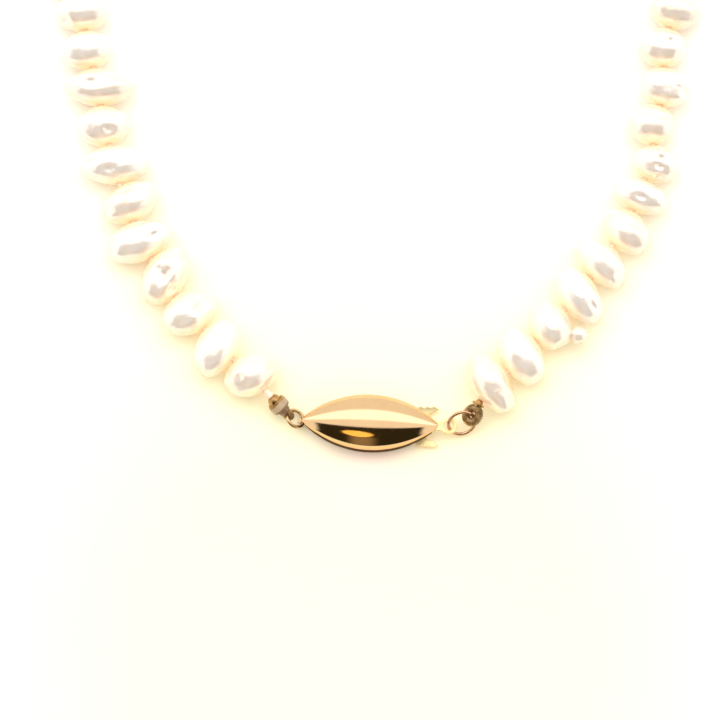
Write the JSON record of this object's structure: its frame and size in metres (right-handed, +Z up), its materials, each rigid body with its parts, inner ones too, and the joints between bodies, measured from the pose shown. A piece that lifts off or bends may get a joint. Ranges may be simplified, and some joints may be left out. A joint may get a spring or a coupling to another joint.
{
  "type": "pearl necklace",
  "caption": "Single-strand baroque pearl necklace with a gold marquise spring-tongue clasp, jump rings and wire-covered thread loops, lying closed in an oval loop.",
  "frame": {"origin": "middle of the flat back of the clasp, on the surface that the necklace lies on", "axes": "+X along the clasp to the wearer's-right ring end, +Y away from the clasp across the loop, +Z up off the surface, out of the clasp's domed face"},
  "size_m": [0.0933, 0.1724, 0.005],
  "materials": {
    "pearl": "lustrous cream nacre",
    "polished_gold": "polished yellow gold plate",
    "gold_strip": "bright rolled gold strip",
    "gold_wire": "drawn gold wire",
    "copper_wire": "worn coppery gold wire",
    "bullion": "dark tarnished coiled wire",
    "wrap": "waxed brown thread wrap",
    "silk": "twisted cream silk"
  },
  "bodies": {
    "clasp": {"clasp_front_shell": "polished_gold", "clasp_back_shell": "polished_gold", "clasp_catch_bar": "gold_wire", "left_lug": "gold_wire"},
    "tongue": {"tongue_leaf": "gold_strip"},
    "thumb_spring": {"tongue_spring": "gold_strip"},
    "left_ring": {"left_ring": "gold_wire"},
    "left_loop": {"left_wire_loop": "bullion", "left_end_knot": "wrap", "left_thread": "silk"},
    "right_ring": {"right_ring": "copper_wire"},
    "right_loop": {"right_wire_loop": "bullion", "right_end_knot": "wrap", "right_thread": "silk"},
    "left_pearl_01": {"left_pearl_01": "pearl"},
    "left_pearl_02": {"left_pearl_02": "pearl"},
    "left_pearl_03": {"left_pearl_03": "pearl"},
    "left_pearl_04": {"left_pearl_04": "pearl"},
    "left_pearl_05": {"left_pearl_05": "pearl"},
    "left_pearl_06": {"left_pearl_06": "pearl"},
    "left_pearl_07": {"left_pearl_07": "pearl"},
    "left_pearl_08": {"left_pearl_08": "pearl"},
    "left_pearl_09": {"left_pearl_09": "pearl"},
    "left_pearl_10": {"left_pearl_10": "pearl"},
    "left_pearl_11": {"left_pearl_11": "pearl"},
    "left_pearl_12": {"left_pearl_12": "pearl"},
    "left_pearls_13_15": {"left_pearls_13_15": "pearl"},
    "left_pearls_16_18": {"left_pearls_16_18": "pearl"},
    "left_pearls_19_21": {"left_pearls_19_21": "pearl"},
    "left_pearls_22_24": {"left_pearls_22_24": "pearl"},
    "left_pearls_25_27": {"left_pearls_25_27": "pearl"},
    "left_pearls_28_30": {"left_pearls_28_30": "pearl"},
    "left_pearls_31_33": {"left_pearls_31_33": "pearl"},
    "left_pearls_34_36": {"left_pearls_34_36": "pearl"},
    "left_pearls_37_39": {"left_pearls_37_39": "pearl"},
    "left_pearls_40_42": {"left_pearls_40_42": "pearl"},
    "right_pearl_01": {"right_pearl_01": "pearl"},
    "right_pearl_02": {"right_pearl_02": "pearl"},
    "right_pearl_03": {"right_pearl_03": "pearl"},
    "right_pearl_04": {"right_pearl_04": "pearl"},
    "right_pearl_05": {"right_pearl_05": "pearl"},
    "right_pearl_06": {"right_pearl_06": "pearl"},
    "right_pearl_07": {"right_pearl_07": "pearl"},
    "right_pearl_08": {"right_pearl_08": "pearl"},
    "right_pearl_09": {"right_pearl_09": "pearl"},
    "right_pearl_10": {"right_pearl_10": "pearl"},
    "right_pearl_11": {"right_pearl_11": "pearl"},
    "right_pearl_12": {"right_pearl_12": "pearl"},
    "right_pearls_13_15": {"right_pearls_13_15": "pearl"},
    "right_pearls_16_18": {"right_pearls_16_18": "pearl"},
    "right_pearls_19_21": {"right_pearls_19_21": "pearl"},
    "right_pearls_22_24": {"right_pearls_22_24": "pearl"},
    "right_pearls_25_27": {"right_pearls_25_27": "pearl"},
    "right_pearls_28_30": {"right_pearls_28_30": "pearl"},
    "right_pearls_31_33": {"right_pearls_31_33": "pearl"},
    "right_pearls_34_36": {"right_pearls_34_36": "pearl"},
    "right_pearls_37_39": {"right_pearls_37_39": "pearl"},
    "right_pearls_40_42": {"right_pearls_40_42": "pearl"}
  },
  "joints": [
    {"name": "clasp_release", "type": "slide", "parent": "clasp", "child": "tongue", "axis": [1, 0, 0], "range_m": [0, 0.0075]},
    {"name": "thumb_press", "type": "hinge", "parent": "tongue", "child": "thumb_spring", "pos_m": [-0.00355, 0, 0.00113], "axis": [0, -1, 0], "range_deg": [0, 1.6], "stiffness_Nm_per_rad": 0.05},
    {"name": "left_ring_lift", "type": "hinge", "parent": "clasp", "child": "left_ring", "pos_m": [-0.0074, 0, 0.00062], "axis": [0, 1, 0], "range_deg": [0, 25]},
    {"name": "right_ring_lift", "type": "hinge", "parent": "tongue", "child": "right_ring", "pos_m": [0.00946, 0, 0.00172], "axis": [0, -1, 0], "range_deg": [0, 22]},
    {"name": "left_loop_swing", "type": "hinge", "parent": "left_ring", "child": "left_loop", "pos_m": [-0.00915, 0.00062, 0.00144], "axis": [0.2365, 0.9716, 0], "range_deg": [0, 25]},
    {"name": "right_loop_swing", "type": "hinge", "parent": "right_ring", "child": "right_loop", "pos_m": [0.01131, 0.00127, 0.00229], "axis": [0.6404, -0.4192, -0.6436], "range_deg": [0, 25]},
    {"name": "left_lift_01", "type": "hinge", "parent": "left_loop", "child": "left_pearl_01", "pos_m": [-0.0117, 0.0029, 0.0025], "axis": [0.6643, 0.7474, 0], "range_deg": [0, 12]},
    {"name": "right_lift_01", "type": "hinge", "parent": "right_loop", "child": "right_pearl_01", "pos_m": [0.0121, 0.0029, 0.0025], "axis": [0.7459, -0.666, 0], "range_deg": [0, 12]},
    {"name": "left_sway_02", "type": "hinge", "parent": "left_pearl_01", "child": "left_pearl_02", "pos_m": [-0.01528, 0.00609, 0.0025], "axis": [0, 0, 1], "range_deg": [0, 10]},
    {"name": "right_sway_02", "type": "hinge", "parent": "right_pearl_01", "child": "right_pearl_02", "pos_m": [0.01507, 0.00623, 0.0025], "axis": [0, 0, -1], "range_deg": [0, 10]},
    {"name": "left_lift_03", "type": "hinge", "parent": "left_pearl_02", "child": "left_pearl_03", "pos_m": [-0.01879, 0.0095, 0.0025], "axis": [0.7186, 0.6955, 0], "range_deg": [0, 12]},
    {"name": "right_lift_03", "type": "hinge", "parent": "right_pearl_02", "child": "right_pearl_03", "pos_m": [0.0181, 0.00977, 0.0025], "axis": [0.771, -0.6368, 0], "range_deg": [0, 12]},
    {"name": "left_sway_04", "type": "hinge", "parent": "left_pearl_03", "child": "left_pearl_04", "pos_m": [-0.02215, 0.01319, 0.0025], "axis": [0, 0, 1], "range_deg": [0, 10]},
    {"name": "right_sway_04", "type": "hinge", "parent": "right_pearl_03", "child": "right_pearl_04", "pos_m": [0.02107, 0.01349, 0.0025], "axis": [0, 0, -1], "range_deg": [0, 10]},
    {"name": "left_lift_05", "type": "hinge", "parent": "left_pearl_04", "child": "left_pearl_05", "pos_m": [-0.02513, 0.01732, 0.0025], "axis": [0.8443, 0.5358, 0], "range_deg": [0, 12]},
    {"name": "right_lift_05", "type": "hinge", "parent": "right_pearl_04", "child": "right_pearl_05", "pos_m": [0.02383, 0.01724, 0.0025], "axis": [0.8252, -0.5649, 0], "range_deg": [0, 12]},
    {"name": "left_sway_06", "type": "hinge", "parent": "left_pearl_05", "child": "left_pearl_06", "pos_m": [-0.02736, 0.02134, 0.0025], "axis": [0, 0, 1], "range_deg": [0, 10]},
    {"name": "right_sway_06", "type": "hinge", "parent": "right_pearl_05", "child": "right_pearl_06", "pos_m": [0.02617, 0.02092, 0.0025], "axis": [0, 0, -1], "range_deg": [0, 10]},
    {"name": "left_lift_07", "type": "hinge", "parent": "left_pearl_06", "child": "left_pearl_07", "pos_m": [-0.02902, 0.02542, 0.0025], "axis": [0.94, 0.341, 0], "range_deg": [0, 12]},
    {"name": "right_lift_07", "type": "hinge", "parent": "right_pearl_06", "child": "right_pearl_07", "pos_m": [0.02824, 0.02509, 0.0025], "axis": [0.9207, -0.3902, 0], "range_deg": [0, 12]},
    {"name": "left_sway_08", "type": "hinge", "parent": "left_pearl_07", "child": "left_pearl_08", "pos_m": [-0.03051, 0.03008, 0.0025], "axis": [0, 0, 1], "range_deg": [0, 10]},
    {"name": "right_sway_08", "type": "hinge", "parent": "right_pearl_07", "child": "right_pearl_08", "pos_m": [0.0295, 0.02864, 0.0025], "axis": [0, 0, -1], "range_deg": [0, 10]},
    {"name": "left_lift_09", "type": "hinge", "parent": "left_pearl_08", "child": "left_pearl_09", "pos_m": [-0.03162, 0.03434, 0.0025], "axis": [0.9685, 0.2489, 0], "range_deg": [0, 12]},
    {"name": "right_lift_09", "type": "hinge", "parent": "right_pearl_08", "child": "right_pearl_09", "pos_m": [0.03036, 0.03271, 0.0025], "axis": [0.9852, -0.1717, 0], "range_deg": [0, 12]},
    {"name": "left_sway_10", "type": "hinge", "parent": "left_pearl_09", "child": "left_pearl_10", "pos_m": [-0.03273, 0.0387, 0.0025], "axis": [0, 0, 1], "range_deg": [0, 10]},
    {"name": "right_sway_10", "type": "hinge", "parent": "right_pearl_09", "child": "right_pearl_10", "pos_m": [0.03098, 0.03723, 0.0025], "axis": [0, 0, -1], "range_deg": [0, 10]},
    {"name": "left_lift_11", "type": "hinge", "parent": "left_pearl_10", "child": "left_pearl_11", "pos_m": [-0.03389, 0.04306, 0.0025], "axis": [0.9662, 0.2578, 0], "range_deg": [0, 12]},
    {"name": "right_lift_11", "type": "hinge", "parent": "right_pearl_10", "child": "right_pearl_11", "pos_m": [0.03132, 0.04168, 0.0025], "axis": [0.9972, -0.0749, 0], "range_deg": [0, 12]},
    {"name": "left_sway_12", "type": "hinge", "parent": "left_pearl_11", "child": "left_pearl_12", "pos_m": [-0.03502, 0.04731, 0.0025], "axis": [0, 0, 1], "range_deg": [0, 10]},
    {"name": "right_sway_12", "type": "hinge", "parent": "right_pearl_11", "child": "right_pearl_12", "pos_m": [0.03165, 0.04623, 0.0025], "axis": [0, 0, -1], "range_deg": [0, 10]},
    {"name": "left_lift_13", "type": "hinge", "parent": "left_pearl_12", "child": "left_pearls_13_15", "pos_m": [-0.03618, 0.05166, 0.0025], "axis": [0.9654, 0.2607, 0], "range_deg": [0, 12]},
    {"name": "right_lift_13", "type": "hinge", "parent": "right_pearl_12", "child": "right_pearls_13_15", "pos_m": [0.03226, 0.05055, 0.0025], "axis": [0.9883, -0.1528, 0], "range_deg": [0, 12]},
    {"name": "left_sway_16", "type": "hinge", "parent": "left_pearls_13_15", "child": "left_pearls_16_18", "pos_m": [-0.03944, 0.06483, 0.0025], "axis": [0, 0, 1], "range_deg": [0, 10]},
    {"name": "right_sway_16", "type": "hinge", "parent": "right_pearls_13_15", "child": "right_pearls_16_18", "pos_m": [0.03513, 0.0644, 0.0025], "axis": [0, 0, -1], "range_deg": [0, 10]},
    {"name": "left_lift_19", "type": "hinge", "parent": "left_pearls_16_18", "child": "left_pearls_19_21", "pos_m": [-0.04163, 0.07855, 0.0025], "axis": [0.9946, 0.104, 0], "range_deg": [0, 12]},
    {"name": "right_lift_19", "type": "hinge", "parent": "right_pearls_16_18", "child": "right_pearls_19_21", "pos_m": [0.03898, 0.07776, 0.0025], "axis": [0.9652, -0.2614, 0], "range_deg": [0, 12]},
    {"name": "left_sway_22", "type": "hinge", "parent": "left_pearls_19_21", "child": "left_pearls_22_24", "pos_m": [-0.04239, 0.09217, 0.0025], "axis": [0, 0, 1], "range_deg": [0, 10]},
    {"name": "right_sway_22", "type": "hinge", "parent": "right_pearls_19_21", "child": "right_pearls_22_24", "pos_m": [0.0422, 0.091, 0.0025], "axis": [0, 0, -1], "range_deg": [0, 10]},
    {"name": "left_lift_25", "type": "hinge", "parent": "left_pearls_22_24", "child": "left_pearls_25_27", "pos_m": [-0.04304, 0.10613, 0.0025], "axis": [0.9999, 0.0161, 0], "range_deg": [0, 12]},
    {"name": "right_lift_25", "type": "hinge", "parent": "right_pearls_22_24", "child": "right_pearls_25_27", "pos_m": [0.04314, 0.10493, 0.0025], "axis": [1, 0.0072, 0], "range_deg": [0, 12]},
    {"name": "left_sway_28", "type": "hinge", "parent": "left_pearls_25_27", "child": "left_pearls_28_30", "pos_m": [-0.04232, 0.11981, 0.0025], "axis": [0, 0, 1], "range_deg": [0, 10]},
    {"name": "right_sway_28", "type": "hinge", "parent": "right_pearls_25_27", "child": "right_pearls_28_30", "pos_m": [0.04231, 0.1192, 0.0025], "axis": [0, 0, -1], "range_deg": [0, 10]},
    {"name": "left_lift_31", "type": "hinge", "parent": "left_pearls_28_30", "child": "left_pearls_31_33", "pos_m": [-0.03929, 0.1335, 0.0025], "axis": [0.9488, -0.3158, 0], "range_deg": [0, 12]},
    {"name": "right_lift_31", "type": "hinge", "parent": "right_pearls_28_30", "child": "right_pearls_31_33", "pos_m": [0.03939, 0.13292, 0.0025], "axis": [0.9534, 0.3016, 0], "range_deg": [0, 12]},
    {"name": "left_sway_34", "type": "hinge", "parent": "left_pearls_31_33", "child": "left_pearls_34_36", "pos_m": [-0.03351, 0.14598, 0.0025], "axis": [0, 0, 1], "range_deg": [0, 10]},
    {"name": "right_sway_34", "type": "hinge", "parent": "right_pearls_31_33", "child": "right_pearls_34_36", "pos_m": [0.03383, 0.1455, 0.0025], "axis": [0, 0, -1], "range_deg": [0, 10]},
    {"name": "left_lift_37", "type": "hinge", "parent": "left_pearls_34_36", "child": "left_pearls_37_39", "pos_m": [-0.02499, 0.15644, 0.0025], "axis": [0.6779, -0.7352, 0], "range_deg": [0, 12]},
    {"name": "right_lift_37", "type": "hinge", "parent": "right_pearls_34_36", "child": "right_pearls_37_39", "pos_m": [0.02499, 0.15645, 0.0025], "axis": [0.6775, 0.7355, 0], "range_deg": [0, 12]},
    {"name": "left_sway_40", "type": "hinge", "parent": "left_pearls_37_39", "child": "left_pearls_40_42", "pos_m": [-0.01343, 0.16394, 0.0025], "axis": [0, 0, 1], "range_deg": [0, 10]},
    {"name": "right_sway_40", "type": "hinge", "parent": "right_pearls_37_39", "child": "right_pearls_40_42", "pos_m": [0.01343, 0.16394, 0.0025], "axis": [0, 0, -1], "range_deg": [0, 10]}
  ]
}
